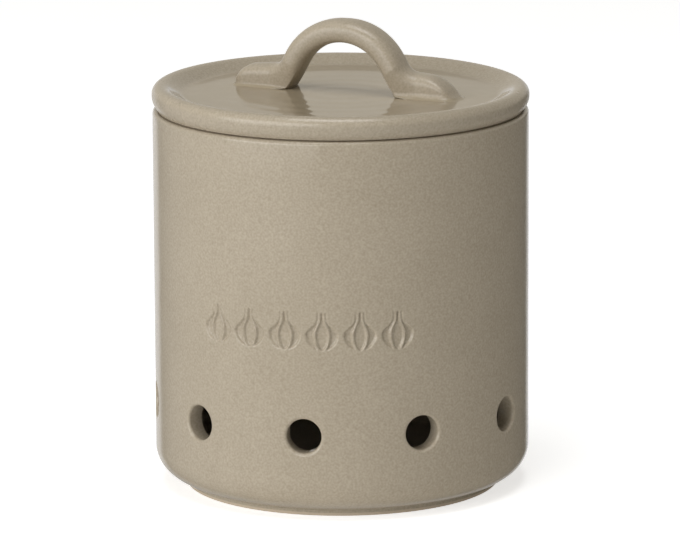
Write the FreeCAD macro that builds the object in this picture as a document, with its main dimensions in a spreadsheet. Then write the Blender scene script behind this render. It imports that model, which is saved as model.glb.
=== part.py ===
"""A stoneware garlic keeper: a vented jar, a dished lid that rests on its rim, and a strap handle.

The origin is on the table under the middle of the jar, +Z is up and the front vent faces -Y.
Lengths are millimetres and angles are degrees.
"""
import FreeCAD, Part
import math
import os
import Sketcher

doc = FreeCAD.newDocument("GarlicKeeper")

# ---------------------------------------------------------------- sizes

sheet = doc.addObject("Spreadsheet::Sheet", "Sizes")
SIZES = {
    # jar
    "jar_radius": 60,          # outside of the wall
    "jar_height": 121.5,       # rim above the table
    "wall": 6,                 # thickness of the wall
    "floor": 6,                # thickness of the floor above the foot ring
    "base_round": 11,          # outside curve from wall to underside
    "floor_round": 8,          # inside curve from wall to floor
    "rim_round": 1.2,          # both edges of the rim
    "foot_inset": 9.6,         # foot ring's outside, in from the wall's outside
    "foot_width": 5,           # of the ring, from inside to outside
    "foot_height": 2.1,        # of the ring below the jar's underside
    "foot_round": 0.6,         # edges of the ring
    # vents
    "vent_count": 10,
    "vent_diameter": 11,
    "vent_level": 27.8,        # vent centres above the table
    "vent_round": 1,           # softened outer edge of each vent
    # lid
    "lid_overhang": 0.2,       # the lid is a hair wider than the jar
    "lid_height": 7.8,         # crest of the lid's rim above its seat
    "lid_tuck": 1.4,           # how far the lid's edge draws in down to the seam
    "lid_tuck_height": 3.2,    # where that curve turns upright, above the seat
    "lid_corner": 0.4,         # the soft corner beside the seam
    "lid_round": 3.6,          # outside of the crest
    "crest_width": 5.8,        # from the lid's outside to where the dish starts down
    "dish_slope": 5.6,         # how far in the dish's slope runs
    "dish_level": 4.8,         # floor of the dish above the seat
    "crest_round": 5,          # crest into slope
    "dish_round": 12,          # slope into dish floor
    "flange_gap": 1.5,         # flange clear of the jar's mouth all round
    "flange_width": 4,
    "flange_depth": 7,         # below the seat
    "flange_round": 1,
    # handle
    "handle_height": 23.6,     # top of the arch above the dish floor
    "arch_radius": 15.2,       # inside of the arch
    "strap_thickness": 7.5,
    "strap_width": 12,
    "leg_lean": 61,            # slope of the legs, in degrees
    "pad_thickness": 6,
    "pad_reach": 38.5,         # from the middle of the arch to the tip of each pad
    "pad_corner": 5.4,         # rounding of a pad's tip seen from above
    "heel_round": 5.6,         # hollow curve from leg to pad
    "strap_round": 3.2,        # long edges of the strap
    "lid_turn": -12.8,         # how the lid happens to be turned, in degrees
    "handle_shift_x": 1.2,     # the handle is pressed on by eye, a little off centre
    "handle_shift_y": 2.0,
}
for row, (alias, value) in enumerate(SIZES.items(), start=1):
    sheet.set(f"A{row}", alias.replace("_", " "))
    sheet.set(f"B{row}", str(value))
    sheet.setAlias(f"B{row}", alias)
doc.recompute()

MOUTH_RADIUS = "(Sizes.jar_radius - Sizes.wall)"
FLOOR_LEVEL = "(Sizes.foot_height + Sizes.floor)"
FOOT_RADIUS = "(Sizes.jar_radius - Sizes.foot_inset)"
FLANGE_RADIUS = "(Sizes.jar_radius - Sizes.wall - Sizes.flange_gap)"
LID_RADIUS = "(Sizes.jar_radius + Sizes.lid_overhang)"


def size(expression):
    """The value of an expression in the sheet's sizes, or 0 for none."""
    return float(sheet.evalExpression(expression)) if expression else 0.0


def same(one, other):
    """Whether two lengths agree to a hundredth of a millimetre."""
    return abs(one - other) < 0.01


# ---------------------------------------------------------------- building blocks


def new_body(name):
    body = doc.addObject("PartDesign::Body", name)
    body.Label = name
    return body


def origin_feature(body, role):
    return next(feature for feature in body.Origin.OriginFeatures if feature.Role == role)


def new_sketch(body, name, role):
    sketch = body.newObject("Sketcher::SketchObject", name)
    sketch.AttachmentSupport = [(origin_feature(body, role), "")]
    sketch.MapMode = "FlatFace"
    return sketch


def bind(sketch, name, constraint, expression):
    """Add a named size to a sketch and let the sheet drive it."""
    sketch.renameConstraint(sketch.addConstraint(constraint), name)
    sketch.setExpression("Constraints." + name, expression)


def bulge(start, end, radius):
    """The short arc of this radius from start to end, counter-clockwise."""
    chord = end - start
    inward = FreeCAD.Vector(-chord.y, chord.x, 0).normalize()
    centre = (start + end) / 2 + inward * math.sqrt(radius ** 2 - (chord.Length / 2) ** 2)
    angles = [math.atan2(point.y - centre.y, point.x - centre.x) for point in (start, end)]
    return Part.ArcOfCircle(Part.Circle(centre, FreeCAD.Vector(0, 0, 1), radius), *angles)


def turned(body, name, corners):
    """Turn an outline about Z.

    A corner is its radius and height as expressions, None for 0. A third expression is the radius
    of the curve that bulges out from it to the next corner, in place of a straight side.
    """
    sketch = new_sketch(body, name + "Outline", "XZ_Plane")
    count = len(corners)
    points = [FreeCAD.Vector(size(radius), size(height), 0) for radius, height, *curve in corners]
    for index, (radius, height, *curve) in enumerate(corners):
        start, end = points[index], points[(index + 1) % count]
        if curve:
            sketch.addGeometry(bulge(start, end, size(*curve)))
        else:
            sketch.addGeometry(Part.LineSegment(start, end))
    for index, (radius, height, *curve) in enumerate(corners):
        sketch.addConstraint(Sketcher.Constraint("Coincident", (index - 1) % count, 2, index, 1))
        if radius is None:
            sketch.addConstraint(Sketcher.Constraint("PointOnObject", index, 1, -2))
        else:
            across = Sketcher.Constraint("DistanceX", -1, 1, index, 1, points[index].x)
            bind(sketch, f"radius{index}", across, radius)
        if height is None:
            sketch.addConstraint(Sketcher.Constraint("PointOnObject", index, 1, -1))
        else:
            up = Sketcher.Constraint("DistanceY", -1, 1, index, 1, points[index].y)
            bind(sketch, f"height{index}", up, height)
        if curve:
            bend = Sketcher.Constraint("Radius", index, size(*curve))
            bind(sketch, f"curve{index}", bend, *curve)
    turn = body.newObject("PartDesign::Revolution", name)
    turn.Profile = sketch
    turn.ReferenceAxis = (sketch, ["V_Axis"])
    turn.Angle = 360
    doc.recompute()
    return turn


def edges_where(feature, test):
    return [f"Edge{number}" for number, edge in enumerate(feature.Shape.Edges, start=1) if test(edge)]


def ring_at(radius, height):
    """A test for the full circle of this radius about Z at this height."""
    def test(edge):
        box = edge.BoundBox
        level = same(box.ZMax, height) and same(box.ZMin, height)
        return level and same(box.XMax, radius) and same(box.XMin, -radius)
    return test


def rings(feature, places):
    """The full circles at these places, each a radius and a height as expressions."""
    return [edge for radius, height in places
            for edge in edges_where(feature, ring_at(size(radius), size(height)))]


def rounded(body, name, base, edges, radius):
    fillet = body.newObject("PartDesign::Fillet", name)
    fillet.Base = (base, edges)
    fillet.setExpression("Radius", radius)
    doc.recompute()
    return fillet


# ---------------------------------------------------------------- jar


def make_jar():
    """One thrown pot: wall and floor, the ring it stands on, and vents punched through the wall."""
    body = new_body("jar")
    pot = turned(body, "Pot", [
        (None, FLOOR_LEVEL),
        (None, "Sizes.foot_height"),
        ("Sizes.jar_radius", "Sizes.foot_height"),
        ("Sizes.jar_radius", "Sizes.jar_height"),
        (MOUTH_RADIUS, "Sizes.jar_height"),
        (MOUTH_RADIUS, FLOOR_LEVEL),
    ])
    shaped = rounded(body, "BaseCurve", pot, rings(pot, [
        ("Sizes.jar_radius", "Sizes.foot_height"),
    ]), "Sizes.base_round")
    shaped = rounded(body, "FloorCurve", shaped, rings(shaped, [
        (MOUTH_RADIUS, FLOOR_LEVEL),
    ]), "Sizes.floor_round")
    rounded(body, "Rim", shaped, rings(shaped, [
        ("Sizes.jar_radius", "Sizes.jar_height"),
        (MOUTH_RADIUS, "Sizes.jar_height"),
    ]), "Sizes.rim_round")

    foot_inside = FOOT_RADIUS + " - Sizes.foot_width"
    foot_top = "(Sizes.foot_height + Sizes.floor / 2)"
    foot = turned(body, "FootRing", [
        (foot_inside, None),
        (FOOT_RADIUS, None),
        (FOOT_RADIUS, foot_top),
        (foot_inside, foot_top),
    ])
    foot = rounded(body, "FootEdges", foot, rings(foot, [
        (foot_inside, None),
        (FOOT_RADIUS, None),
    ]), "Sizes.foot_round")

    circle = new_sketch(body, "VentOutline", "XZ_Plane")
    level, diameter = size("Sizes.vent_level"), size("Sizes.vent_diameter")
    circle.addGeometry(Part.Circle(FreeCAD.Vector(0, level, 0), FreeCAD.Vector(0, 0, 1), diameter / 2))
    circle.addConstraint(Sketcher.Constraint("PointOnObject", 0, 3, -2))
    bind(circle, "level", Sketcher.Constraint("DistanceY", -1, 1, 0, 3, level), "Sizes.vent_level")
    bind(circle, "diameter", Sketcher.Constraint("Diameter", 0, diameter), "Sizes.vent_diameter")
    vent = body.newObject("PartDesign::Pocket", "FrontVent")
    vent.Profile = circle
    vent.Reversed = True
    vent.setExpression("Length", "Sizes.jar_radius + Sizes.wall")
    doc.recompute()
    vents = body.newObject("PartDesign::PolarPattern", "Vents")
    vents.Originals = [vent]
    vents.Axis = (circle, ["V_Axis"])
    vents.Angle = 360
    vents.setExpression("Occurrences", "Sizes.vent_count")
    body.Tip = vents
    doc.recompute()
    plug = math.pi * (diameter / 2) ** 2 * size("Sizes.wall")
    if vents.Shape.Volume > foot.Shape.Volume - plug * size("Sizes.vent_count"):
        raise RuntimeError("the vents don't all cut through the wall")

    def on_vent_rim(edge):
        out = [math.hypot(point.X, point.Y) for point in edge.Vertexes]
        on_wall = all(same(radius, size("Sizes.jar_radius")) for radius in out)
        return on_wall and same(edge.BoundBox.Center.z, level)
    rounded(body, "VentEdges", vents, edges_where(vents, on_vent_rim), "Sizes.vent_round")
    return body


# ---------------------------------------------------------------- lid


def make_lid():
    """A turned disc: raised round rim, shallow dish, and a flange below that keeps it in the mouth."""
    body = new_body("lid")
    flange_inside = FLANGE_RADIUS + " - Sizes.flange_width"
    seam_radius = LID_RADIUS + " - Sizes.lid_tuck"
    dish_edge = LID_RADIUS + " - Sizes.crest_width"
    dish_radius = dish_edge + " - Sizes.dish_slope"
    tuck_height = "(Sizes.lid_tuck_height - Sizes.lid_corner)"
    tuck_curve = f"({tuck_height} ^ 2 + Sizes.lid_tuck ^ 2) / (2 * Sizes.lid_tuck)"
    disc = turned(body, "Disc", [
        (None, None),
        (flange_inside, None),
        (flange_inside, "-Sizes.flange_depth"),
        (FLANGE_RADIUS, "-Sizes.flange_depth"),
        (FLANGE_RADIUS, None),
        (seam_radius + " - Sizes.lid_corner", None, "Sizes.lid_corner"),
        (seam_radius, "Sizes.lid_corner", tuck_curve),
        (LID_RADIUS, "Sizes.lid_tuck_height"),
        (LID_RADIUS, "Sizes.lid_height"),
        (dish_edge, "Sizes.lid_height"),
        (dish_radius, "Sizes.dish_level"),
        (None, "Sizes.dish_level"),
    ])
    shaped = rounded(body, "Crest", disc, rings(disc, [
        (LID_RADIUS, "Sizes.lid_height"),
    ]), "Sizes.lid_round")
    shaped = rounded(body, "Dish", shaped, rings(shaped, [
        (dish_radius, "Sizes.dish_level"),
    ]), "Sizes.dish_round")
    shaped = rounded(body, "CrestIntoDish", shaped, rings(shaped, [
        (dish_edge, "Sizes.lid_height"),
    ]), "Sizes.crest_round")
    rounded(body, "Flange", shaped, rings(shaped, [
        (FLANGE_RADIUS, "-Sizes.flange_depth"),
        (flange_inside, "-Sizes.flange_depth"),
    ]), "Sizes.flange_round")
    body.setExpression("Placement.Base.z", "Sizes.jar_height")
    return body


# ---------------------------------------------------------------- handle


def make_handle():
    """A strap of clay bent into an arch, its ends pressed out into pads and stuck to the lid."""
    body = new_body("handle")
    lean = math.radians(size("Sizes.leg_lean"))
    inner = size("Sizes.arch_radius")
    outer = inner + size("Sizes.strap_thickness")
    centre = FreeCAD.Vector(0, size("Sizes.handle_height") - outer, 0)
    reach, pad = size("Sizes.pad_reach"), size("Sizes.pad_thickness")

    def on_arch(radius):
        return centre + FreeCAD.Vector(radius * math.sin(lean), radius * math.cos(lean), 0)

    def down_leg(start, height):
        return FreeCAD.Vector(start.x + (start.y - height) / math.tan(lean), height, 0)
    crown, spring = on_arch(outer), on_arch(inner)
    top, under = centre + FreeCAD.Vector(0, outer, 0), centre + FreeCAD.Vector(0, inner, 0)
    heel, foot = down_leg(crown, pad), down_leg(spring, 0)
    tip_top, tip = FreeCAD.Vector(reach, pad, 0), FreeCAD.Vector(reach, 0, 0)
    axis = FreeCAD.Vector(0, 0, 1)

    side = new_sketch(body, "SideOutline", "XZ_Plane")
    sector = (math.pi / 2 - lean, math.pi / 2)
    arch = side.addGeometry(Part.ArcOfCircle(Part.Circle(centre, axis, outer), *sector))
    leg = side.addGeometry(Part.LineSegment(crown, heel))
    pad_top = side.addGeometry(Part.LineSegment(heel, tip_top))
    pad_end = side.addGeometry(Part.LineSegment(tip_top, tip))
    sole = side.addGeometry(Part.LineSegment(tip, foot))
    leg_inside = side.addGeometry(Part.LineSegment(foot, spring))
    arch_inside = side.addGeometry(Part.ArcOfCircle(Part.Circle(centre, axis, inner), *sector))
    middle = side.addGeometry(Part.LineSegment(under, top))
    for constraint in [
        Sketcher.Constraint("Tangent", arch, 1, leg, 1),
        Sketcher.Constraint("Coincident", leg, 2, pad_top, 1),
        Sketcher.Constraint("Coincident", pad_top, 2, pad_end, 1),
        Sketcher.Constraint("Coincident", pad_end, 2, sole, 1),
        Sketcher.Constraint("Coincident", sole, 2, leg_inside, 1),
        Sketcher.Constraint("Tangent", leg_inside, 2, arch_inside, 1),
        Sketcher.Constraint("Coincident", arch_inside, 2, middle, 1),
        Sketcher.Constraint("Coincident", middle, 2, arch, 2),
        Sketcher.Constraint("Coincident", arch, 3, arch_inside, 3),
        Sketcher.Constraint("PointOnObject", arch, 3, -2),
        Sketcher.Constraint("PointOnObject", arch, 2, -2),
        Sketcher.Constraint("PointOnObject", arch_inside, 2, -2),
        Sketcher.Constraint("PointOnObject", sole, 1, -1),
        Sketcher.Constraint("PointOnObject", sole, 2, -1),
        Sketcher.Constraint("Horizontal", pad_top),
        Sketcher.Constraint("Vertical", pad_end),
        Sketcher.Constraint("Parallel", leg, leg_inside),
    ]:
        side.addConstraint(constraint)
    bind(side, "inside", Sketcher.Constraint("Radius", arch_inside, inner), "Sizes.arch_radius")
    bind(side, "outside", Sketcher.Constraint("Radius", arch, outer),
         "Sizes.arch_radius + Sizes.strap_thickness")
    bind(side, "height", Sketcher.Constraint("DistanceY", -1, 1, arch, 2, top.y), "Sizes.handle_height")
    bind(side, "reach", Sketcher.Constraint("DistanceX", -1, 1, sole, 1, reach), "Sizes.pad_reach")
    bind(side, "pad", Sketcher.Constraint("DistanceY", -1, 1, pad_top, 2, pad), "Sizes.pad_thickness")
    bind(side, "lean", Sketcher.Constraint("Angle", sole, 2, leg_inside, 1, math.pi - lean),
         "180 - Sizes.leg_lean")
    doc.recompute()
    half = body.newObject("PartDesign::Pad", "HalfStrap")
    half.Profile = side
    half.Midplane = True
    half.setExpression("Length", "Sizes.strap_width")
    doc.recompute()
    strap = body.newObject("PartDesign::Mirrored", "Strap")
    strap.Originals = [half]
    strap.MirrorPlane = (origin_feature(body, "YZ_Plane"), [""])
    body.Tip = strap
    doc.recompute()

    width = size("Sizes.strap_width")

    def on_pad_corner(edge):
        box = edge.BoundBox
        return same(box.XLength, 0) and same(box.YLength, 0) and same(abs(box.XMin), reach)

    def on_heel(edge):
        box = edge.BoundBox
        across = same(box.XLength, 0) and same(box.ZLength, 0) and same(box.YLength, width)
        return across and same(box.ZMin, pad)

    def on_long_edge(edge):
        box = edge.BoundBox
        above_sole = not same(box.ZMax, 0)
        on_side = same(box.YLength, 0) and same(abs(box.YMin), width / 2)
        upright = same(box.XLength, 0)
        on_tip = same(box.ZMin, pad) and same(box.ZLength, 0) and same(max(-box.XMin, box.XMax), reach)
        return above_sole and (on_side and not upright or on_tip)
    shaped = rounded(body, "PadCorners", strap, edges_where(strap, on_pad_corner), "Sizes.pad_corner")
    shaped = rounded(body, "Heels", shaped, edges_where(shaped, on_heel), "Sizes.heel_round")
    rounded(body, "SoftEdges", shaped, edges_where(shaped, on_long_edge), "Sizes.strap_round")
    body.setExpression("Placement.Base.x", "Sizes.handle_shift_x")
    body.setExpression("Placement.Base.y", "Sizes.handle_shift_y")
    body.setExpression("Placement.Base.z", "Sizes.jar_height + Sizes.dish_level")
    body.setExpression("Placement.Rotation.Angle", "Sizes.lid_turn")
    return body


# ---------------------------------------------------------------- assembly

parts = [make_jar(), make_lid(), make_handle()]
doc.recompute()

for item in doc.Objects:
    if "Invalid" in item.State or "Error" in item.State:
        raise RuntimeError(f"{item.Label} didn't rebuild: {item.State}")
for part in parts:
    if part.Shape.isNull() or not part.Shape.isValid() or len(part.Shape.Solids) != 1:
        raise RuntimeError(f"{part.Label} isn't one sound solid")

os.makedirs("parts", exist_ok=True)
for part in parts:
    part.Shape.exportStep(f"parts/{part.Label}.step")
    print(f"{part.Label}: {part.Shape.Volume / 1000:.1f} cubic centimetres")
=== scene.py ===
"""A stoneware garlic keeper, from the pot up: jar, lid, handle, then the table and the studio."""
import math

import bmesh
import bpy
from mathutils import Euler, Matrix, Vector


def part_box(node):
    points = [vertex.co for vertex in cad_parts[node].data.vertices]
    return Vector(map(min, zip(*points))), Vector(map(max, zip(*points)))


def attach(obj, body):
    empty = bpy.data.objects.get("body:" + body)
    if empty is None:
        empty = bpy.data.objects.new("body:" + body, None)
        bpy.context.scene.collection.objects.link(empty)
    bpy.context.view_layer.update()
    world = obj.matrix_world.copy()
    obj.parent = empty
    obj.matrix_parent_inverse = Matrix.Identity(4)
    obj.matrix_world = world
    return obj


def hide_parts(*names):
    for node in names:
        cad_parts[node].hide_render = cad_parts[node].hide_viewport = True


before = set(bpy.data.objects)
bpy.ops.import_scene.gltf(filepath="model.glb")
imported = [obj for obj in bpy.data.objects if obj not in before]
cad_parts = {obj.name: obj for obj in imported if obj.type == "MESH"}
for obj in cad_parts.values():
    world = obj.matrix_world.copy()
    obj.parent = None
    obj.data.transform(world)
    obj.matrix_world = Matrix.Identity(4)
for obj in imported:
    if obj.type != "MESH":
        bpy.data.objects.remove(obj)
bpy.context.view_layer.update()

# ---------------------------------------------------------------- the jar
# One thrown pot of stoneware with a straight wall, a low foot ring and ten vents punched through
# the wall near its base. A row of bulbs is pressed into the front before it is glazed inside and
# out; the foot and the top of the rim stay bare, so that it doesn't stick in the kiln.

MM = 0.001
jar_radius = 60 * MM
jar_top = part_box("jar")[1].z
wall = 6 * MM
inner_radius = jar_radius - wall
rim_round = 1.2 * MM
wall_rows = [102 * MM, 84 * MM, 66 * MM, 52 * MM]
underside = 2.1 * MM
foot_outside = 50.4 * MM
foot_inside = 45.4 * MM
foot_round = 0.6 * MM
foot_hollow = 0.75 * MM
base_round, base_lower_round, base_bend = 9.3 * MM, 12.4 * MM, -45
floor_level = 8.1 * MM
floor_round = 8 * MM
flat_rings = 8

vent_count = 10
vent_radius = 5.5 * MM
vent_level = 27.8 * MM
vent_lip = 1.0 * MM
vent_inner_lip = 0.6 * MM
band_half_height = 11.4 * MM
band_low, band_high = vent_level - band_half_height, vent_level + band_half_height
vent_wander = {-1: -1.3, 1: 0.6, 2: 0.2}
wander_whole, wander_none = 8, 16
wander_flat = 0.7

column_step = 1.5
stamp_column_step = 0.25
stamp_reach = 36
stamp_row_step = 0.28 * MM
stamp_low, stamp_high = 53.5 * MM, 69.5 * MM
tolerance = 0.01 * MM

glaze_deep = (0.346, 0.293, 0.216, 1)
glaze_pale = (0.510, 0.443, 0.345, 1)
bare_clay = (0.560, 0.470, 0.360, 1)
bare_roughness, bare_softness = 0.85, 0.08 * MM
cloud_share = 0.35
tone_low, tone_high = 0.08, 1.27
roughness_play = 0.02
ripple_height = 0.12 * MM


def node(tree, kind, inputs=None, **settings):
    """A node with its settings. An input takes a value, or the output that feeds it."""
    made = tree.nodes.new(kind)
    for name, value in settings.items():
        setattr(made, name, value)
    for key, value in (inputs or {}).items():
        if isinstance(value, bpy.types.NodeSocket):
            tree.links.new(value, made.inputs[key])
        else:
            made.inputs[key].default_value = value
    return made


def ring_share(tree, place, level, radius, half_height, half_width, softness):
    """1 on a ring about Z, 0 elsewhere, with a soft edge that wanders a little."""
    axes = node(tree, "ShaderNodeSeparateXYZ", {0: place})
    flat = node(tree, "ShaderNodeCombineXYZ", {0: axes.outputs[0], 1: axes.outputs[1]})
    out = node(tree, "ShaderNodeVectorMath", {0: flat.outputs[0]}, operation="LENGTH")
    wander = node(tree, "ShaderNodeTexNoise", {"Vector": place, "Scale": 160.0, "Detail": 2.0})
    shares = []
    for measure, middle, half in (
            (axes.outputs[2], level, half_height), (out.outputs["Value"], radius, half_width)):
        off = node(tree, "ShaderNodeMath", {0: measure, 1: middle}, operation="SUBTRACT")
        far = node(tree, "ShaderNodeMath", {0: off.outputs[0]}, operation="ABSOLUTE")
        edge = node(tree, "ShaderNodeMath", {
            0: wander.outputs[0], 1: 2 * softness, 2: far.outputs[0]}, operation="MULTIPLY_ADD")
        shares.append(node(tree, "ShaderNodeMapRange", {
            "Value": edge.outputs[0], "From Min": half + 2 * softness, "From Max": half,
        }, interpolation_type="SMOOTHSTEP"))
    both = node(tree, "ShaderNodeMath", {0: shares[0].outputs[0], 1: shares[1].outputs[0]},
                operation="MULTIPLY")
    return both.outputs[0]


def glaze(name, roughness, rings=()):
    """Satin stoneware glaze: a mottled warm grey with a slow ripple.

    Each ring has a finish of its own: level, radius, half height, half width, softness, colour and
    roughness. Without a colour it keeps the glaze's.
    """
    material = bpy.data.materials.new(name)
    material.use_nodes = True
    tree = material.node_tree
    shader = tree.nodes["Principled BSDF"]
    place = node(tree, "ShaderNodeTexCoord").outputs["Object"]

    grain = node(tree, "ShaderNodeTexNoise", {
        "Vector": place, "Scale": 1500.0, "Detail": 0.0})
    cloud = node(tree, "ShaderNodeTexNoise", {
        "Vector": place, "Scale": 45.0, "Detail": 3.0, "Roughness": 0.6})
    mottle = node(tree, "ShaderNodeMath", {
        0: cloud.outputs[0], 1: cloud_share, 2: grain.outputs[0]}, operation="MULTIPLY_ADD")
    tone = node(tree, "ShaderNodeMapRange", {
        "Value": mottle.outputs[0], "From Min": tone_low, "From Max": tone_high})
    colour = node(tree, "ShaderNodeMix", {
        "Factor": tone.outputs[0], "A": glaze_deep, "B": glaze_pale}, data_type="RGBA")
    shine = node(tree, "ShaderNodeMapRange", {
        "Value": cloud.outputs[0], "From Min": 0.3, "From Max": 0.7,
        "To Min": roughness - roughness_play, "To Max": roughness + roughness_play})
    colour_out, shine_out = colour.outputs["Result"], shine.outputs[0]
    for *bounds, own_colour, own_roughness in rings:
        here = ring_share(tree, place, *bounds)
        if own_colour:
            tinted = node(tree, "ShaderNodeMix", {
                "Factor": here, "A": colour_out, "B": own_colour}, data_type="RGBA")
            colour_out = tinted.outputs["Result"]
        polished = node(tree, "ShaderNodeMix", {
            "Factor": here, "A": shine_out, "B": own_roughness}, data_type="FLOAT")
        shine_out = polished.outputs["Result"]

    ripple = node(tree, "ShaderNodeTexNoise", {
        "Vector": place, "Scale": 70.0, "Detail": 1.0, "Roughness": 0.4})
    slow = node(tree, "ShaderNodeBump", {
        "Strength": 1.0, "Distance": ripple_height, "Height": ripple.outputs[0]})
    tree.links.new(colour_out, shader.inputs["Base Color"])
    tree.links.new(shine_out, shader.inputs["Roughness"])
    tree.links.new(slow.outputs[0], shader.inputs["Normal"])
    shader.inputs["IOR"].default_value = 1.5
    return material


def arc(middle, radius, start, end, steps):
    """A round stretch of a profile, from one angle to another in degrees: 0 is out, 90 is up."""
    turns = [math.radians(start + (end - start) * step / steps) for step in range(steps + 1)]
    return [(middle[0] + radius * math.cos(turn), middle[1] + radius * math.sin(turn))
            for turn in turns]


def profile(corners, steps=6):
    """A profile through corners of (radius, height, rounding), where the rounding may be left out."""
    points = []
    for index, (radius, height, *rounding) in enumerate(corners):
        here = Vector((radius, height))
        if not rounding:
            points.append((radius, height))
            continue
        back = (Vector(corners[index - 1][:2]) - here).normalized()
        ahead = (Vector(corners[index + 1][:2]) - here).normalized()
        half = math.acos(max(-1, min(1, back.dot(ahead)))) / 2
        middle = here + (back + ahead).normalized() * rounding[0] / math.sin(half)
        first = here + back * rounding[0] / math.tan(half) - middle
        last = here + ahead * rounding[0] / math.tan(half) - middle
        start = math.degrees(math.atan2(first.y, first.x))
        sweep = math.degrees(math.atan2(first.x * last.y - first.y * last.x, first.dot(last)))
        points += arc(middle, rounding[0], start, start + sweep, steps)
    return points


def ring(clay, radius, height, angles):
    """Points at these angles round Z, in degrees from the front towards +X."""
    if radius < tolerance:
        return [(0, clay.verts.new((0, 0, height)))]
    made = []
    for angle in angles:
        turn = math.radians(angle)
        point = clay.verts.new((radius * math.sin(turn), -radius * math.cos(turn), height))
        made.append((angle, point))
    return made


def skin(clay, lower, upper):
    """Faces between two rings. Where one has more points than the other, triangles fan out."""
    low, up = 0, 0
    paired = [angle for angle, point in lower] == [angle for angle, point in upper]

    def at(circle, index):
        turns, rest = divmod(index, len(circle))
        return circle[rest][0] + 360 * turns, circle[rest][1]

    while low < len(lower) or up < len(upper):
        low_angle, low_point = at(lower, low + 1)
        up_angle, up_point = at(upper, up + 1)
        corners = [at(lower, low)[1], low_point, up_point, at(upper, up)[1]]
        if paired or len(lower) == 1 or len(upper) == 1 or low_angle == up_angle:
            low, up = low + 1, up + 1
        elif low_angle < up_angle:
            corners.pop(2)
            low += 1
        else:
            corners.pop(1)
            up += 1
        corners = list(dict.fromkeys(corners))
        if len(corners) > 2:
            clay.faces.new(corners)
        if (len(lower) == 1 and up == len(upper)) or (len(upper) == 1 and low == len(lower)):
            break


def throw(clay, points, angles):
    """Turn a profile about Z with the same columns all the way."""
    rings = [ring(clay, radius, height, angles) for radius, height in points]
    for lower, upper in zip(rings, rings[1:]):
        skin(clay, lower, upper)


def piece(name, clay):
    """An object at the origin with this clay as its mesh."""
    mesh = bpy.data.meshes.new(name)
    clay.to_mesh(mesh)
    clay.free()
    made = bpy.data.objects.new(name, mesh)
    bpy.context.collection.objects.link(made)
    return made


def finish_mesh(made):
    """Make what the Geometry Nodes give the object's plain mesh, closed and facing outwards."""
    graph = bpy.context.evaluated_depsgraph_get()
    mesh = bpy.data.meshes.new_from_object(made.evaluated_get(graph))
    made.modifiers.clear()
    made.data = mesh
    clay = bmesh.new()
    clay.from_mesh(mesh)
    bmesh.ops.recalc_face_normals(clay, faces=clay.faces)
    clay.to_mesh(mesh)
    clay.free()
    mesh.shade_smooth()


def give(modifier, name, value):
    """Set a named input of a Geometry Nodes modifier."""
    for item in modifier.node_group.interface.items_tree:
        if item.name == name and item.in_out == "INPUT":
            modifier[item.identifier] = value


columns = [-180 + column_step * index for index in range(round(360 / column_step))]
stamp_columns = [angle for angle in columns if abs(angle) > stamp_reach]
stamp_columns += [-stamp_reach + stamp_column_step * index
                  for index in range(round(2 * stamp_reach / stamp_column_step) + 1)]
stamp_columns.sort()

pot = bmesh.new()
bend = math.radians(base_bend)
between = (base_lower_round - base_round) * Vector((math.cos(bend), math.sin(bend)))
lower_middle = Vector((jar_radius - base_round - between.x, underside + base_lower_round))
base_starts_out = foot_outside + foot_hollow
base_start = -math.degrees(math.acos((base_starts_out - lower_middle.x) / base_lower_round))
base = arc(lower_middle, base_lower_round, base_start, base_bend, 18)
base += arc(lower_middle + between, base_round, base_bend, 0, 14)[1:]
foot = profile([
    (0, underside),
    (foot_inside, underside, foot_round),
    (foot_inside, 0, foot_round),
    (foot_outside, 0, foot_round),
    (foot_outside, underside + 0.1 * MM, foot_round),
    base[0],
])
underneath = [(foot_inside * share / flat_rings, underside) for share in range(flat_rings)]
throw(pot, underneath + foot[1:-1] + base + [(jar_radius, band_low)], columns)

rows = round((stamp_high - stamp_low) / stamp_row_step)
front = [ring(pot, jar_radius, band_high, columns)]
for row in range(rows + 1):
    height = stamp_low + (stamp_high - stamp_low) * row / rows
    front.append(ring(pot, jar_radius, height, stamp_columns))
for height in (wall_rows[1], wall_rows[0], jar_top - rim_round):
    front.append(ring(pot, jar_radius, height, columns))
for lower, upper in zip(front, front[1:]):
    skin(pot, lower, upper)

rim = profile([
    (jar_radius, jar_top - 2 * rim_round),
    (jar_radius, jar_top, rim_round),
    (inner_radius, jar_top, rim_round),
    (inner_radius, jar_top - 2 * rim_round),
], steps=8)
inside = [(inner_radius, height) for height in (*wall_rows, band_high)]
throw(pot, rim[1:-1] + inside, columns)
bowl = profile([
    (inner_radius, band_low),
    (inner_radius, floor_level, floor_round),
    (0, floor_level),
], steps=14)
flat_floor = [(bowl[-2][0] * share / (flat_rings + 1), floor_level)
              for share in range(flat_rings, -1, -1)]
throw(pot, bowl[:-1] + flat_floor, columns)

half_sector = 180 / vent_count
side_rows = 14
patch_steps = 9
patch_crowding = 1.5
lip_steps = 6
columns_in_sector = round(2 * half_sector / column_step)
border = []
for index in range(columns_in_sector):
    border.append((-half_sector + column_step * index, -band_half_height))
for index in range(side_rows):
    border.append((half_sector, band_half_height * (2 * index / side_rows - 1)))
for index in range(columns_in_sector):
    border.append((half_sector - column_step * index, band_half_height))
for index in range(side_rows):
    border.append((-half_sector, band_half_height * (1 - 2 * index / side_rows)))


def towards(angle, up):
    """The direction from the vent's middle to a place on the border, seen from the front."""
    return math.atan2(up, jar_radius * math.radians(angle))


def even(index):
    """The direction of a point on the vent's edge, half way to an even spacing round it."""
    start = towards(*border[0])
    ahead = (towards(*border[index]) - start) % (2 * math.pi)
    return start + (ahead + 2 * math.pi * index / len(border)) / 2


def on_wall(radius, angle, up):
    """The place on a round wall at this angle and height over the vent's middle."""
    turn = math.radians(angle)
    return radius * math.sin(turn), -radius * math.cos(turn), vent_level + up


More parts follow.
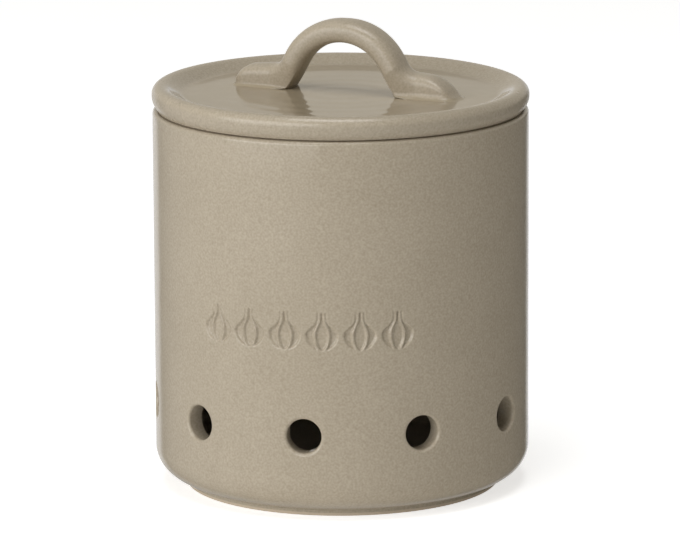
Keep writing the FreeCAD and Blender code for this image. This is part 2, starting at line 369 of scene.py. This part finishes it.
def vent_loop(clay, hole, depth, surface, share=0.0):
    """A loop round the vent: at its own radius and depth, or part of the way to the border."""
    loop = []
    for index, (angle, up) in enumerate(border):
        turn = even(index)
        across, rise = hole * math.cos(turn), hole * math.sin(turn)
        if share:
            from_edge = math.degrees(math.asin(across / surface))
            at = from_edge + (angle - from_edge) * share
            loop.append(clay.verts.new(on_wall(surface, at, rise + (up - rise) * share)))
        else:
            back = math.sqrt(surface ** 2 - across ** 2)
            loop.append(clay.verts.new((across, depth - back, vent_level + rise)))
    return loop


sector = bmesh.new()
loops = []
for step in range(patch_steps, 0, -1):
    loops.append(vent_loop(sector, vent_radius + vent_lip, 0, jar_radius,
                           (step / patch_steps) ** patch_crowding))
for step in range(lip_steps + 1):
    turn = math.pi / 2 * step / lip_steps
    loops.append(vent_loop(sector, vent_radius + vent_lip * (1 - math.sin(turn)),
                           vent_lip * (1 - math.cos(turn)), jar_radius))
for step in range(lip_steps + 1):
    turn = math.pi / 2 * step / lip_steps
    loops.append(vent_loop(sector, vent_radius + vent_inner_lip * (1 - math.cos(turn)),
                           -vent_inner_lip * (1 - math.sin(turn)), inner_radius))
for step in range(1, patch_steps + 1):
    loops.append(vent_loop(sector, vent_radius + vent_inner_lip, 0, inner_radius,
                           (step / patch_steps) ** patch_crowding))
for outer, inner in zip(loops, loops[1:]):
    for index in range(len(border)):
        after = (index + 1) % len(border)
        sector.faces.new((outer[index], outer[after], inner[after], inner[index]))
vent = piece("vent_sector", sector)

vents = bpy.data.node_groups.new("vents_round_the_wall", "GeometryNodeTree")
for label, kind in (("Pot", "Geometry"), ("Vent", "Object"), ("Count", "Int"),
                    ("Weld", "Float"), ("Glaze", "Material")):
    vents.interface.new_socket(label, in_out="INPUT", socket_type="NodeSocket" + kind)
vents.interface.new_socket("Jar", in_out="OUTPUT", socket_type="NodeSocketGeometry")
given = node(vents, "NodeGroupInput").outputs
one = node(vents, "GeometryNodeObjectInfo", {"Object": given["Vent"]})
spots = node(vents, "GeometryNodePoints", {"Count": given["Count"]})
which = node(vents, "GeometryNodeInputIndex")
step = node(vents, "ShaderNodeMath", {0: 2 * math.pi, 1: given["Count"]}, operation="DIVIDE")
turn = node(vents, "ShaderNodeMath", {0: which.outputs[0], 1: step.outputs[0]},
            operation="MULTIPLY")
about = node(vents, "ShaderNodeCombineXYZ", {2: turn.outputs[0]})
facing = node(vents, "FunctionNodeEulerToRotation", {0: about.outputs[0]})
placed = node(vents, "GeometryNodeInstanceOnPoints", {
    "Points": spots.outputs[0], "Instance": one.outputs["Geometry"], "Rotation": facing.outputs[0]})
real = node(vents, "GeometryNodeRealizeInstances", {"Geometry": placed.outputs[0]})
whole = node(vents, "GeometryNodeJoinGeometry", {"Geometry": given["Pot"]})
vents.links.new(real.outputs[0], whole.inputs[0])
welded = node(vents, "GeometryNodeMergeByDistance", {
    "Geometry": whole.outputs[0], "Distance": given["Weld"]})
plain = node(vents, "GeometryNodeRealizeInstances", {"Geometry": welded.outputs[0]})
glazed = node(vents, "GeometryNodeSetMaterial", {
    "Geometry": plain.outputs[0], "Material": given["Glaze"]})
node(vents, "NodeGroupOutput", {"Jar": glazed.outputs[0]})

jar = piece("garlic_jar", pot)
punch = jar.modifiers.new("vents", "NODES")
punch.node_group = vents
give(punch, "Vent", vent)
give(punch, "Count", vent_count)
give(punch, "Weld", 0.005 * MM)
give(punch, "Glaze", glaze("jar_glaze", 0.18, [
    (0, (foot_outside + foot_inside) / 2, 1.0 * MM, 2.8 * MM,
     bare_softness, bare_clay, bare_roughness),
    (jar_top, jar_radius - wall / 2, 0.12 * MM, 1.25 * MM,
     bare_softness, bare_clay, bare_roughness),
]))
finish_mesh(jar)
bpy.data.objects.remove(vent)

bulb_count = 6
bulb_gap = 12 * MM
bulb_level = 60.5 * MM
bulb_half_width = 5.4 * MM
bulb_below, bulb_above = 5.2 * MM, 7.4 * MM
neck_half_width, shoulder = 1.7 * MM, 5.2 * MM
clove_share = 0.42
ridge_half = 0.25 * MM
stamp_wall = 0.9 * MM
stamp_depth = 0.75 * MM


def bulb_half(up):
    """Half the width of the bulb at a height over its widest level: round below, drawn in above."""
    if up < 0:
        return bulb_half_width * math.sqrt(max(0, 1 - (up / bulb_below) ** 2))
    drawn = 0.5 + 0.5 * math.cos(math.pi * min(1, up / shoulder))
    return neck_half_width + (bulb_half_width - neck_half_width) * drawn


def pressed(across, up):
    """The share of the stamp's depth here: a bulb of three cloves with soft walls between them."""
    half, small = bulb_half(up), 0.1 * MM
    lean = (bulb_half(up + small) - bulb_half(up - small)) / (2 * small)
    to_edge = min((half - abs(across)) / math.hypot(1, lean), bulb_above - up)
    to_ridge = abs(abs(across) - clove_share * half) - ridge_half
    inside = [max(0, min(1, gap / stamp_wall)) for gap in (to_edge, 2 * to_ridge)]
    return math.prod(share ** 2 * (3 - 2 * share) for share in inside)


for point in jar.data.vertices:
    angle = math.degrees(math.atan2(point.co.x, -point.co.y))
    nearest = round(angle * vent_count / 360)
    off = abs(angle - nearest * 360 / vent_count)
    if band_low < point.co.z < band_high and nearest in vent_wander:
        fading = max(0, min(1, (off - wander_whole) / (wander_none - wander_whole)))
        share = 0.5 + 0.5 * math.cos(math.pi * fading)
        height = abs(point.co.z - vent_level) / band_half_height
        share *= 1 - max(0, height - wander_flat) / (1 - wander_flat)
        point.co.rotate(Euler((0, 0, math.radians(vent_wander[nearest] * share))))
    on_outside = abs(point.co.xy.length - jar_radius) < tolerance
    if on_outside and stamp_low < point.co.z < stamp_high:
        across = jar_radius * math.radians(angle) + (bulb_count - 1) / 2 * bulb_gap
        across -= bulb_gap * max(0, min(bulb_count - 1, round(across / bulb_gap)))
        point.co.xy *= 1 - stamp_depth * pressed(across, point.co.z - bulb_level) / jar_radius
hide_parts("jar")
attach(jar, "jar")

# ---------------------------------------------------------------- the lid
# A thick turned disc of the same clay that rests on the rim: its edge is a soft roll, the top is
# hollowed to a shallow dish with faint turning rings, and a flange below drops into the jar.

seat = jar_top
lid_radius = jar_radius + 0.2 * MM
lid_crest = 7.65 * MM
crest_round = 2.8 * MM
tuck, tuck_height, corner = 1.5 * MM, 4.4 * MM, 0.4 * MM
thicker_left = 0.0055
dish_edge = lid_radius - 4.4 * MM
dish_foot = dish_edge - 5.2 * MM
dish_level = 4.8 * MM
dish_edge_round, dish_foot_round = 5 * MM, 4.5 * MM
flange_outside = inner_radius - 1.5 * MM
flange_inside = flange_outside - 4 * MM
flange_depth = 7 * MM
flange_root, flange_round = 0.8 * MM, 1.0 * MM
undercut, undercut_start = 0.3 * MM, jar_radius - 2.9 * MM
ring_height, ring_spacing, ring_fade = 0.018 * MM, 7.5 * MM, 6 * MM
dish_rings = 80
lid_column_step = 1.25
# A darker, warmer tone of painted shade, on the dish floor and where the handle's pads meet it.
painted_shade_tone = (0.365, 0.305, 0.213, 1)
pool_roughness, pool_softness = 0.09, 1.0 * MM

tuck_rise = tuck_height - undercut - corner
tuck_curve = (tuck_rise ** 2 + tuck ** 2) / (2 * tuck)
tuck_start = -math.degrees(math.asin(tuck_rise / tuck_curve))
below = profile([
    (0, 0),
    (flange_inside, 0, flange_root),
    (flange_inside, -flange_depth, flange_round),
    (flange_outside, -flange_depth, flange_round),
    (flange_outside, 0, flange_root),
    (undercut_start, 0),
    (undercut_start + undercut, undercut),
    (lid_radius - tuck - corner, undercut),
])
edge = arc((lid_radius - tuck - corner, undercut + corner), corner, -90, 0, 4)[1:]
side = arc((lid_radius - tuck_curve, tuck_height), tuck_curve, tuck_start, 0, 10)[1:]
above = profile([
    (lid_radius, tuck_height),
    (lid_radius, lid_crest, crest_round),
    (dish_edge, lid_crest, dish_edge_round),
    (dish_foot, dish_level, dish_foot_round),
    (0, dish_level),
], steps=16)
dish_flat = above[-2][0]
dish = [(dish_flat * share / dish_rings, dish_level) for share in range(dish_rings - 1, -1, -1)]
under = [(flange_inside * share / flat_rings, 0) for share in range(flat_rings)]

disc = bmesh.new()
lid_profile = under + below[1:] + edge + side + above[1:-1] + dish
throw(disc, [(radius, seat + height) for radius, height in lid_profile],
      [-180 + lid_column_step * index for index in range(round(360 / lid_column_step))])
for point in disc.verts:
    out = point.co.xy.length
    high = max(0, point.co.z - seat) / lid_crest
    if point.co.z > seat + dish_level / 2 and out < dish_flat:
        fade = min(1, (dish_flat - out) / ring_fade)
        point.co.z += ring_height * fade * math.sin(2 * math.pi * out / ring_spacing)
    point.co.z -= thicker_left * point.co.x * high * (out / lid_radius) ** 4
lid = piece("dished_lid", disc)
lid.data.shade_smooth()
lid.data.materials.append(glaze("lid_glaze", 0.27, [
    (seat, jar_radius - wall / 2, 0.1 * MM, 1.25 * MM,
     bare_softness, bare_clay, bare_roughness),
    # The dish floor: painted shade in a darker tone, with a glossier finish where the glaze pools.
    (seat + dish_level, 0, 0.8 * MM, dish_foot, pool_softness, painted_shade_tone, pool_roughness),
    (seat + dish_level, 0, 2.6 * MM, dish_edge + 1 * MM, pool_softness, None, pool_roughness),
]))
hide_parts("lid")
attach(lid, "lid")

# ---------------------------------------------------------------- the handle
# A pulled strap of clay bent into an arch. Its ends are flattened into pads and luted to the dish
# with slip, and the glaze gathers glossier where they meet it, with painted shade in the join. It
# sits a little turned and off centre.

handle_turn = -12.8
handle_shift = (1.2 * MM, 2.0 * MM)
strap_top = 23.6 * MM
strap_half = 3.75 * MM
shoulder_swell = 0.22 * MM
arch_middle = 18.95 * MM
leg_lean = math.radians(61)
heel_round = 9 * MM
heel_thickness = 7.5 * MM
pad_fall = 0.09
end_corner, end_squareness = 4.5 * MM, 2.4
heel_fill = 0.5
ends = {"left": (38.6 * MM, 6.5 * MM, 0.5), "right": (38.1 * MM, 9.5 * MM, 0.8)}
strap_half_width = 5.7 * MM
pad_half_width = 4.9 * MM
pad_back = 1.5 * MM
sunk = 0.2 * MM
gather = {"left": 1.2 * MM, "right": 2.0 * MM}
inner_gather = 0.5
squareness = 2.6
section_points = 120
arch_steps, leg_steps, heel_steps, pad_steps = 36, 6, 24, 36
level_normal = 0.1

arch_level = strap_top - strap_half - arch_middle
leg_top = Vector((arch_middle * math.sin(leg_lean), arch_level + arch_middle * math.cos(leg_lean)))
leg_normal = Vector((math.sin(leg_lean), math.cos(leg_lean)))
heel_top = heel_thickness / 2 + heel_round * (1 - math.cos(leg_lean))
heel_start = leg_top.x + (leg_top.y - heel_top) / math.tan(leg_lean)
heel_middle = Vector((heel_start + heel_round * math.sin(leg_lean),
                      heel_thickness / 2 + heel_round))


def half_strap(reach, end_length, bluntness):
    """Places along half the strap: out, up, slope, half the width, clay above, clay below, pad."""
    course = []
    for step in range(arch_steps + 1):
        slope = leg_lean * step / arch_steps
        course.append((arch_middle * math.sin(slope),
                       arch_level + arch_middle * math.cos(slope), slope))
    for step in range(1, leg_steps + 1):
        middle = leg_top.lerp(Vector((heel_start, heel_top)), step / leg_steps)
        course.append((middle.x, middle.y, leg_lean))
    for step in range(1, heel_steps + 1):
        slope = leg_lean * (1 - step / heel_steps)
        course.append((heel_middle.x - heel_round * math.sin(slope),
                       heel_middle.y - heel_round * math.cos(slope), slope))
    end_start = reach - end_length
    for step in range(1, pad_steps + 1):
        left_over = 1 - math.sin(math.pi / 2 * step / pad_steps)
        course.append((reach - (reach - heel_middle.x) * left_over, 0, 0))
    stations = []
    for out, up, slope in course:
        pad = 1 - slope / leg_lean if out > leg_top.x else 0
        end = max(0, min(1, (out - end_start) / end_length))
        width = strap_half_width + (pad_half_width - strap_half_width) * pad
        into_corner = max(0, 1 - (reach - out) / end_corner)
        width *= (1 - into_corner ** end_squareness) ** (1 / end_squareness)
        if up:
            past_leg = max(0, (Vector((out, up)) - leg_top).dot(leg_normal))
            to_leg = (strap_half + heel_fill * past_leg) / math.cos(leg_lean - slope)
            below = min(to_leg, (up + sunk) / math.cos(slope)) if pad else strap_half
            above = strap_half + shoulder_swell * math.sin(math.pi * slope / leg_lean) * (not pad)
            stations.append((out, up, slope, width, above, below, pad))
        else:
            thickness = heel_thickness - pad_fall * (out - heel_middle.x)
            thickness *= (1 - end ** 2) ** bluntness
            stations.append((out, thickness / 2, 0, width, thickness / 2, thickness / 2 + sunk, 1))
    return stations


line = bmesh.new()
sizes = [line.verts.layers.float.new(name) for name in ("half_width", "above", "below", "pad")]
upright = line.verts.layers.float_vector.new("upright")
left = [(-out, up, -slope, *rest)
        for out, up, slope, *rest in reversed(half_strap(*ends["left"])[1:])]
before = None
for out, up, slope, *values in left + half_strap(*ends["right"]):
    spot = line.verts.new((out, pad_back * values[-1], up))
    spot[upright] = (math.sin(slope), 0, math.cos(slope))
    for layer, value in zip(sizes, values):
        spot[layer] = value
    if before:
        line.edges.new((before, spot))
    before = spot
handle = piece("strap_handle", line)

loop = bmesh.new()
boxy = loop.verts.layers.float_vector.new("pad_section")
spots = []
for index in range(section_points):
    turn = 2 * math.pi * index / section_points
    across, up = math.cos(turn), math.sin(turn)
    oval = Vector((math.copysign(abs(across) ** (2 / squareness), across),
                   math.copysign(abs(up) ** (2 / squareness), up), 0))
    spot = loop.verts.new(oval)
    spot[boxy] = oval if up >= 0 else Vector((across, up, 0)) / max(abs(across), abs(up))
    spots.append(spot)
for index, spot in enumerate(spots):
    loop.edges.new((spot, spots[(index + 1) % section_points]))
section = piece("strap_section", loop)

strap = bpy.data.node_groups.new("strap_along_a_line", "GeometryNodeTree")
for label, kind in (("Line", "Geometry"), ("Section", "Object"), ("Across", "Vector"),
                    ("Weld", "Float"), ("Glaze", "Material")):
    strap.interface.new_socket(label, in_out="INPUT", socket_type="NodeSocket" + kind)
strap.interface.new_socket("Handle", in_out="OUTPUT", socket_type="NodeSocketGeometry")
given = node(strap, "NodeGroupInput").outputs


def remember(geometry, name, value):
    """Store a vector on the points of a curve, so that the swept mesh keeps it."""
    return node(strap, "GeometryNodeStoreNamedAttribute", {
        "Geometry": geometry, "Name": name, "Value": value}, data_type="FLOAT_VECTOR").outputs[0]


def recall(name, kind="FLOAT"):
    """What a point of the swept mesh has kept under this name."""
    return node(strap, "GeometryNodeInputNamedAttribute", {"Name": name}, data_type=kind).outputs[0]


def added(first, second):
    """The sum of two vectors."""
    return node(strap, "ShaderNodeVectorMath", {0: first, 1: second}, operation="ADD").outputs[0]


place = node(strap, "GeometryNodeInputPosition").outputs[0]
path = node(strap, "GeometryNodeMeshToCurve", {"Mesh": given["Line"]}).outputs[0]
path = remember(path, "middle", place)
outline = node(strap, "GeometryNodeObjectInfo", {"Object": given["Section"]}).outputs["Geometry"]
outline = remember(node(strap, "GeometryNodeMeshToCurve", {"Mesh": outline}).outputs[0],
                   "strap_section", place)
swept = node(strap, "GeometryNodeCurveToMesh", {"Curve": path, "Profile Curve": outline}).outputs[0]

mixed = node(strap, "ShaderNodeMix", {
    "Factor": recall("pad"), "A": recall("strap_section", "FLOAT_VECTOR"),
    "B": recall("pad_section", "FLOAT_VECTOR")}, data_type="VECTOR")
share = node(strap, "ShaderNodeSeparateXYZ", {0: mixed.outputs["Result"]}).outputs
upper_side = node(strap, "ShaderNodeMath", {0: share[1], 1: 0.0},
                  operation="GREATER_THAN").outputs[0]
offset = node(strap, "ShaderNodeMix", {
    "Factor": upper_side, "A": recall("below"), "B": recall("above")}, data_type="FLOAT")
rise = node(strap, "ShaderNodeMath", {0: share[1], 1: offset.outputs["Result"]},
            operation="MULTIPLY")
reach = node(strap, "ShaderNodeMath", {0: share[0], 1: recall("half_width")},
             operation="MULTIPLY")
risen = node(strap, "ShaderNodeVectorMath", {
    0: recall("upright", "FLOAT_VECTOR"), "Scale": rise.outputs[0]}, operation="SCALE")
widened = node(strap, "ShaderNodeVectorMath", {0: given["Across"], "Scale": reach.outputs[0]},
               operation="SCALE")
spread = added(risen.outputs[0], widened.outputs[0])
moved = node(strap, "GeometryNodeSetPosition", {
    "Geometry": swept, "Position": added(recall("middle", "FLOAT_VECTOR"), spread)})
closed = node(strap, "GeometryNodeMergeByDistance", {
    "Geometry": moved.outputs[0], "Distance": given["Weld"]})
plain = node(strap, "GeometryNodeRealizeInstances", {"Geometry": closed.outputs[0]})
glazed = node(strap, "GeometryNodeSetMaterial", {
    "Geometry": plain.outputs[0], "Material": given["Glaze"]})
node(strap, "NodeGroupOutput", {"Handle": glazed.outputs[0]})

pull = handle.modifiers.new("strap", "NODES")
pull.node_group = strap
give(pull, "Section", section)
give(pull, "Across", (0, 1, 0))
give(pull, "Weld", 0.004 * MM)
# Where the pads meet the dish: painted shade in a darker tone, with a glossier finish where the glaze
# gathers.
give(pull, "Glaze", glaze("handle_glaze", 0.34, [
    (seat + dish_level, 0, 0.7 * MM, lid_radius, 0.5 * MM, painted_shade_tone, 0.2),
]))
finish_mesh(handle)
bpy.data.objects.remove(section)

normals = [Vector((*point.normal.xy, 0)) for point in handle.data.vertices]
for point, outward in zip(handle.data.vertices, normals):
    fillet = gather["right" if point.co.x > 0 else "left"]
    if point.co.z < fillet and outward.length > level_normal:
        gap = fillet - max(0, point.co.z)
        outward.normalize()
        inward = max(0, -outward.x * math.copysign(1, point.co.x))
        spread = (fillet - math.sqrt(fillet ** 2 - gap ** 2)) * (1 - (1 - inner_gather) * inward)
        point.co += outward * spread
handle.data.transform(Matrix.Translation((*handle_shift, seat + dish_level))
                      @ Matrix.Rotation(math.radians(handle_turn), 4, "Z"))
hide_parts("handle")
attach(handle, "lid")

# ---------------------------------------------------------------- the table
# A plain matt white table that runs out of sight. The lift makes it white to the camera and leaves
# the jar's soft shadow; the faint glow is painted bounce light: the table itself glows, standing in
# for what a lit white sweep throws back up.

table_reach = 6.0
table_white = (0.88, 0.88, 0.88, 1)
table_lift = 0.45
painted_bounce_glow = 0.19


def seen_ray(tree):
    """1 where the camera looks, straight or by way of a mirror or glass."""
    rays = node(tree, "ShaderNodeLightPath").outputs
    mirrored = node(tree, "ShaderNodeMath", {
        0: rays["Is Glossy Ray"], 1: rays["Is Transmission Ray"]}, operation="MAXIMUM")
    return node(tree, "ShaderNodeMath", {
        0: rays["Is Camera Ray"], 1: mirrored.outputs[0]}, operation="MAXIMUM").outputs[0]


top = bmesh.new()
bmesh.ops.create_circle(top, cap_ends=True, segments=96, radius=table_reach)
table = piece("table", top)
paint = bpy.data.materials.new("table_white")
paint.use_nodes = True
tree = paint.node_tree
tree.nodes.clear()
# The table's faint glow, seen by every ray, is painted bounce light on the jar's foot and base.
lift = node(tree, "ShaderNodeMath", {0: seen_ray(tree), 1: table_lift, 2: painted_bounce_glow},
            operation="MULTIPLY_ADD")
matt = node(tree, "ShaderNodeBsdfDiffuse", {"Color": table_white})
bright = node(tree, "ShaderNodeEmission", {"Color": (1, 1, 1, 1), "Strength": lift.outputs[0]})
both = node(tree, "ShaderNodeAddShader", {0: matt.outputs[0], 1: bright.outputs[0]})
node(tree, "ShaderNodeOutputMaterial", {"Surface": both.outputs[0]})
table.data.materials.append(paint)
table.visible_glossy = False

# ---------------------------------------------------------------- the studio
# A large soft lamp at the front left, a weak one at the right and one overhead. Shiny glaze
# sees a white backdrop behind, darker sides and a warm room above. The camera stands back with
# a long lens.

camera_azimuth = 11.67
room_light = (0.14, 0.136, 0.122, 1)
white_side = (0.90, 0.90, 0.90, 1)
lit_side = (0.50, 0.50, 0.50, 1)
dark_side = (0.10, 0.095, 0.085, 1)
upper_room = (0.63, 0.585, 0.50, 1)
backdrop_middle = camera_azimuth + 5
backdrop_half, backdrop_edge = 24, 2
backdrop_foot, foot_fade, foot_share = -0.28, 0.15, 0.65
backdrop_top, top_fade = 0.03, 0.12
lit_from, lit_fully = -0.3, -1.0
studio = bpy.data.worlds.new("studio")
studio.use_nodes = True
bpy.context.scene.world = studio
tree = studio.node_tree
way = node(tree, "ShaderNodeTexCoord").outputs["Generated"]
turned = node(tree, "ShaderNodeVectorRotate", {
    "Vector": way, "Angle": math.radians(-backdrop_middle)}, rotation_type="Z_AXIS")
axes = node(tree, "ShaderNodeSeparateXYZ", {0: turned.outputs[0]}).outputs
aside = node(tree, "ShaderNodeMath", {0: axes[0], 1: axes[1]}, operation="ARCTAN2")
off = node(tree, "ShaderNodeMath", {0: aside.outputs[0]}, operation="ABSOLUTE")
beside = node(tree, "ShaderNodeMapRange", {
    "Value": off.outputs[0], "From Min": math.radians(backdrop_half - backdrop_edge),
    "From Max": math.radians(backdrop_half + backdrop_edge)}, interpolation_type="SMOOTHSTEP")
above = node(tree, "ShaderNodeMapRange", {
    "Value": axes[2], "From Min": backdrop_top, "From Max": backdrop_top + top_fade},
    interpolation_type="SMOOTHSTEP")
below = node(tree, "ShaderNodeMapRange", {
    "Value": axes[2], "From Min": backdrop_foot, "From Max": backdrop_foot - foot_fade,
    "To Max": foot_share}, interpolation_type="SMOOTHSTEP")
beyond = node(tree, "ShaderNodeMath", {0: beside.outputs[0], 1: below.outputs[0]},
              operation="MAXIMUM")
leftward = node(tree, "ShaderNodeMapRange", {
    "Value": axes[0], "From Min": lit_from, "From Max": lit_fully},
    interpolation_type="SMOOTHSTEP")
flanks = node(tree, "ShaderNodeMix", {
    "Factor": leftward.outputs[0], "A": dark_side, "B": lit_side}, data_type="RGBA")
around = node(tree, "ShaderNodeMix", {
    "Factor": beyond.outputs[0], "A": white_side, "B": flanks.outputs["Result"]}, data_type="RGBA")
backdrop = node(tree, "ShaderNodeMix", {
    "Factor": above.outputs[0], "A": around.outputs["Result"], "B": upper_room}, data_type="RGBA")
room = node(tree, "ShaderNodeMix", {
    "Factor": seen_ray(tree), "A": room_light, "B": backdrop.outputs["Result"]}, data_type="RGBA")
direct = node(tree, "ShaderNodeLightPath").outputs["Is Camera Ray"]
clear = node(tree, "ShaderNodeMix", {
    "Factor": direct, "A": room.outputs["Result"], "B": (1, 1, 1, 1)}, data_type="RGBA")
tree.links.new(clear.outputs["Result"], tree.nodes["Background"].inputs["Color"])


def soft_lamp(name, azimuth, elevation, distance, width, height, power):
    """A soft lamp aimed at the middle of the jar; azimuth 0 is in front, 90 is at +X."""
    light = bpy.data.lights.new(name, "AREA")
    light.shape = "RECTANGLE"
    light.size = width
    light.size_y = height
    light.energy = power
    lamp = bpy.data.objects.new(name, light)
    bpy.context.collection.objects.link(lamp)
    turn, tilt = math.radians(azimuth), math.radians(elevation)
    level = math.cos(tilt)
    back = Vector((math.sin(turn) * level, -math.cos(turn) * level, math.sin(tilt)))
    lamp.location = Vector((0, 0, jar_top / 2)) + back * distance
    lamp.rotation_euler = back.to_track_quat("Z", "Y").to_euler()
    return lamp


soft_lamp("key", azimuth=-32, elevation=15, distance=1.8, width=2.1, height=1.2, power=22.8)
soft_lamp("fill", azimuth=85, elevation=8, distance=1.8, width=1.2, height=0.8, power=0.4)
soft_lamp("top", azimuth=0, elevation=78, distance=1.8, width=1.0, height=1.0, power=14.0)

camera_distance, camera_height = 1.822, 0.4584
camera_heading, camera_pitch, camera_roll = 11.684, 12.05, -0.296
lens = bpy.data.cameras.new("camera")
lens.sensor_fit = "HORIZONTAL"
lens.sensor_width = 36
lens.lens = 307.5
camera = bpy.data.objects.new("camera", lens)
bpy.context.collection.objects.link(camera)
aside = math.radians(camera_azimuth)
stand = Matrix.Translation((camera_distance * math.sin(aside),
                            -camera_distance * math.cos(aside), camera_height))
camera.matrix_world = (stand @ Matrix.Rotation(math.radians(camera_heading), 4, "Z")
                       @ Matrix.Rotation(math.radians(90 - camera_pitch), 4, "X")
                       @ Matrix.Rotation(math.radians(camera_roll), 4, "Z"))
bpy.context.scene.camera = camera
bpy.context.scene.view_settings.view_transform = "Standard"
